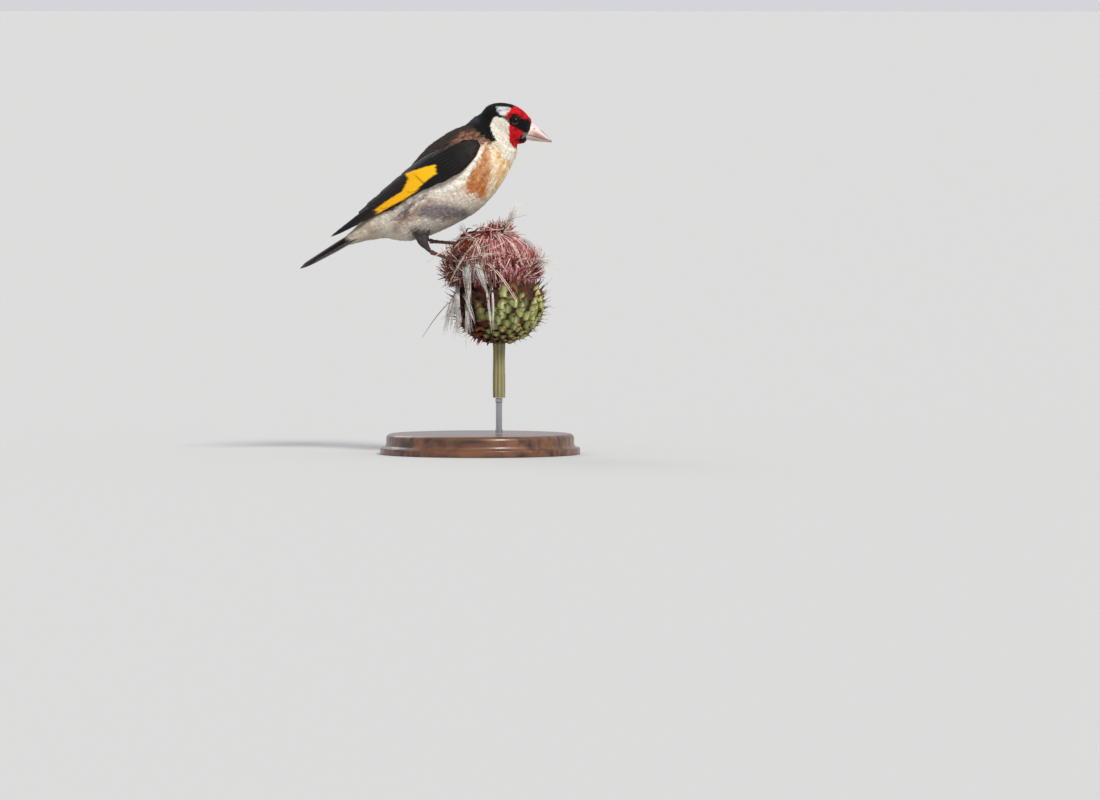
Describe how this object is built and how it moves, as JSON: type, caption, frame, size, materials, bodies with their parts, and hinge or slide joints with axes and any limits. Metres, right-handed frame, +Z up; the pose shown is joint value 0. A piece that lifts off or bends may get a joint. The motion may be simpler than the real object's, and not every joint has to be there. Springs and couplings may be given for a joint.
{
  "type": "european goldfinch",
  "caption": "Life-size still model of a European goldfinch gripping a dry thistle head with a short cut stem, held by a rod on a round wooden display stand.",
  "frame": {"origin": "centre of the stand's underside, on the surface that it stands on", "axes": "+X is the way the bird faces, +Y its left side, +Z up"},
  "size_m": [0.1235, 0.088, 0.1548],
  "materials": {
    "plumage_body": "soft overlapping body feathers, brown back, buff breast, white belly",
    "plumage_face": "short feathers, red face, white cheek, black crown",
    "plumage_flight": "overlapping vanes, black with a yellow wing bar, slight sheen",
    "plumage_thigh": "short grey-brown feathers",
    "horn": "smooth pale pinkish horn, dark at the ridge's tip",
    "eye": "wet black-brown",
    "scaly_skin": "dry scaled skin, dark brown",
    "claw": "smooth dark horn",
    "dry_bract": "dry pale green bracts with brown spines",
    "dry_floret": "withered magenta to straw-brown florets",
    "dry_stem": "ribbed dull green-brown stem",
    "stand_steel": "brushed",
    "stand_wood": "satin varnish"
  },
  "bodies": {
    "root": {"torso": "plumage_body", "neck": "plumage_body", "head": "plumage_face", "wing_right": "plumage_flight", "wing_left": "plumage_flight", "tail": "plumage_flight", "thigh_right": "plumage_thigh", "thigh_left": "plumage_thigh", "bill_upper": "horn", "bill_lower": "horn", "eye_right": "eye", "eye_left": "eye", "shank_right": "scaly_skin", "shank_left": "scaly_skin", "foot_right": "scaly_skin", "foot_left": "scaly_skin", "claw_right_inner": "claw", "claw_right_middle": "claw", "claw_right_outer": "claw", "claw_right_hind": "claw", "claw_left_inner": "claw", "claw_left_middle": "claw", "claw_left_outer": "claw", "claw_left_hind": "claw", "perch_bracts": "dry_bract", "perch_florets": "dry_floret", "perch_stem": "dry_stem", "stand_rod": "stand_steel", "stand_base": "stand_wood"}
  },
  "joints": []
}
